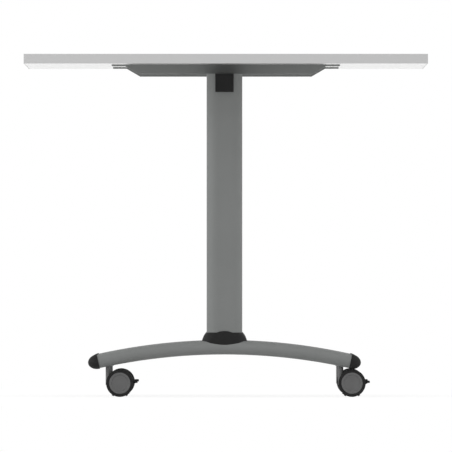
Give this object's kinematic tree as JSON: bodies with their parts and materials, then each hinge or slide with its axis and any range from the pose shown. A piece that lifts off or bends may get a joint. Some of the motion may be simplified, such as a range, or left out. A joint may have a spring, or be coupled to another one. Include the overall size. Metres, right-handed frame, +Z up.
{
  "type": "mobile meeting table",
  "caption": "Mobile meeting table: laminate top tilting on T-legs with flat-oval columns, arched feet and braked twin-wheel castors.",
  "frame": {"origin": "on the floor under the middle of the top", "axes": "+X across the table, +Y along it, +Z up"},
  "size_m": [0.88, 1.2, 0.748],
  "materials": {
    "laminate": "light grey decorative laminate, fine matt texture",
    "edging": "light grey plastic edging",
    "backing": "white backing laminate",
    "board_core": "chipboard",
    "frame_grey": "silver-grey powder coat on steel",
    "castor_grey": "grey coated steel",
    "steel": "zinc-plated steel",
    "black_plastic": "black moulded polypropylene and nylon",
    "hub_grey": "grey moulded nylon",
    "tyre": "black soft tread",
    "nylon_white": "natural nylon"
  },
  "bodies": {
    "frame": {"column_left": "frame_grey", "pivot_housing_left": "black_plastic", "foot_left": "frame_grey", "boot_left": "black_plastic", "foot_caps_left": "black_plastic", "column_right": "frame_grey", "pivot_housing_right": "black_plastic", "foot_right": "frame_grey", "boot_right": "black_plastic", "foot_caps_right": "black_plastic", "pivot_pins": "steel", "thrust_washers": "nylon_white", "stretcher": "frame_grey", "castor_sockets": "frame_grey", "foot_bolts": "steel"},
    "top": {"tabletop_core": "board_core", "top_laminate": "laminate", "backing_laminate": "backing", "end_edging": "edging", "side_edging": "edging", "rail_screws": "steel", "tilt_rail_left": "frame_grey", "tilt_rail_right": "frame_grey", "pivot_bushes": "nylon_white"},
    "lock_lever_left": {"lock_lever_left": "black_plastic"},
    "lock_lever_right": {"lock_lever_right": "black_plastic"},
    "castor_front_left": {"castor_front_left_yoke": "castor_grey", "castor_front_left_axle": "steel", "castor_front_left_hood": "black_plastic"},
    "castor_front_left_wheel_a": {"castor_front_left_hub_a": "hub_grey", "castor_front_left_tyre_a": "tyre"},
    "castor_front_left_wheel_b": {"castor_front_left_hub_b": "hub_grey", "castor_front_left_tyre_b": "tyre"},
    "castor_front_left_pedal": {"castor_front_left_pedal": "black_plastic"},
    "castor_front_right": {"castor_front_right_yoke": "castor_grey", "castor_front_right_axle": "steel", "castor_front_right_hood": "black_plastic"},
    "castor_front_right_wheel_a": {"castor_front_right_hub_a": "hub_grey", "castor_front_right_tyre_a": "tyre"},
    "castor_front_right_wheel_b": {"castor_front_right_hub_b": "hub_grey", "castor_front_right_tyre_b": "tyre"},
    "castor_front_right_pedal": {"castor_front_right_pedal": "black_plastic"},
    "castor_rear_left": {"castor_rear_left_yoke": "castor_grey", "castor_rear_left_axle": "steel", "castor_rear_left_hood": "black_plastic"},
    "castor_rear_left_wheel_a": {"castor_rear_left_hub_a": "hub_grey", "castor_rear_left_tyre_a": "tyre"},
    "castor_rear_left_wheel_b": {"castor_rear_left_hub_b": "hub_grey", "castor_rear_left_tyre_b": "tyre"},
    "castor_rear_left_pedal": {"castor_rear_left_pedal": "black_plastic"},
    "castor_rear_right": {"castor_rear_right_yoke": "castor_grey", "castor_rear_right_axle": "steel", "castor_rear_right_hood": "black_plastic"},
    "castor_rear_right_wheel_a": {"castor_rear_right_hub_a": "hub_grey", "castor_rear_right_tyre_a": "tyre"},
    "castor_rear_right_wheel_b": {"castor_rear_right_hub_b": "hub_grey", "castor_rear_right_tyre_b": "tyre"},
    "castor_rear_right_pedal": {"castor_rear_right_pedal": "black_plastic"}
  },
  "joints": [
    {"name": "top_tilt", "type": "hinge", "parent": "frame", "child": "top", "pos_m": [-0.003, 0, 0.67599], "axis": [0, 1, 0], "range_deg": [0, 90]},
    {"name": "lock_lever_left_turn", "type": "hinge", "parent": "frame", "child": "lock_lever_left", "pos_m": [-0.003, 0.35, 0.67599], "axis": [0, 1, 0], "range_deg": [0, 90]},
    {"name": "lock_lever_right_turn", "type": "hinge", "parent": "frame", "child": "lock_lever_right", "pos_m": [-0.003, -0.35, 0.67599], "axis": [0, 1, 0], "range_deg": [0, 90]},
    {"name": "castor_front_left_swivel", "type": "hinge", "parent": "frame", "child": "castor_front_left", "pos_m": [-0.257, 0.35, 0.08], "axis": [0, 0, 1], "continuous": true},
    {"name": "castor_front_left_wheel_a_roll", "type": "hinge", "parent": "castor_front_left", "child": "castor_front_left_wheel_a", "pos_m": [-0.232, 0.35, 0.03], "axis": [0, 1, 0], "continuous": true},
    {"name": "castor_front_left_wheel_b_roll", "type": "hinge", "parent": "castor_front_left", "child": "castor_front_left_wheel_b", "pos_m": [-0.232, 0.35, 0.03], "axis": [0, 1, 0], "continuous": true},
    {"name": "castor_front_left_brake", "type": "hinge", "parent": "castor_front_left", "child": "castor_front_left_pedal", "pos_m": [-0.211, 0.35, 0.033], "axis": [0, 1, 0], "range_deg": [0, 14]},
    {"name": "castor_front_right_swivel", "type": "hinge", "parent": "frame", "child": "castor_front_right", "pos_m": [-0.257, -0.35, 0.08], "axis": [0, 0, 1], "continuous": true},
    {"name": "castor_front_right_wheel_a_roll", "type": "hinge", "parent": "castor_front_right", "child": "castor_front_right_wheel_a", "pos_m": [-0.232, -0.35, 0.03], "axis": [0, 1, 0], "continuous": true},
    {"name": "castor_front_right_wheel_b_roll", "type": "hinge", "parent": "castor_front_right", "child": "castor_front_right_wheel_b", "pos_m": [-0.232, -0.35, 0.03], "axis": [0, 1, 0], "continuous": true},
    {"name": "castor_front_right_brake", "type": "hinge", "parent": "castor_front_right", "child": "castor_front_right_pedal", "pos_m": [-0.211, -0.35, 0.033], "axis": [0, 1, 0], "range_deg": [0, 14]},
    {"name": "castor_rear_left_swivel", "type": "hinge", "parent": "frame", "child": "castor_rear_left", "pos_m": [0.251, 0.35, 0.08], "axis": [0, 0, 1], "continuous": true},
    {"name": "castor_rear_left_wheel_a_roll", "type": "hinge", "parent": "castor_rear_left", "child": "castor_rear_left_wheel_a", "pos_m": [0.276, 0.35, 0.03], "axis": [0, 1, 0], "continuous": true},
    {"name": "castor_rear_left_wheel_b_roll", "type": "hinge", "parent": "castor_rear_left", "child": "castor_rear_left_wheel_b", "pos_m": [0.276, 0.35, 0.03], "axis": [0, 1, 0], "continuous": true},
    {"name": "castor_rear_left_brake", "type": "hinge", "parent": "castor_rear_left", "child": "castor_rear_left_pedal", "pos_m": [0.297, 0.35, 0.033], "axis": [0, 1, 0], "range_deg": [0, 14]},
    {"name": "castor_rear_right_swivel", "type": "hinge", "parent": "frame", "child": "castor_rear_right", "pos_m": [0.251, -0.35, 0.08], "axis": [0, 0, 1], "continuous": true},
    {"name": "castor_rear_right_wheel_a_roll", "type": "hinge", "parent": "castor_rear_right", "child": "castor_rear_right_wheel_a", "pos_m": [0.276, -0.35, 0.03], "axis": [0, 1, 0], "continuous": true},
    {"name": "castor_rear_right_wheel_b_roll", "type": "hinge", "parent": "castor_rear_right", "child": "castor_rear_right_wheel_b", "pos_m": [0.276, -0.35, 0.03], "axis": [0, 1, 0], "continuous": true},
    {"name": "castor_rear_right_brake", "type": "hinge", "parent": "castor_rear_right", "child": "castor_rear_right_pedal", "pos_m": [0.297, -0.35, 0.033], "axis": [0, 1, 0], "range_deg": [0, 14]}
  ]
}
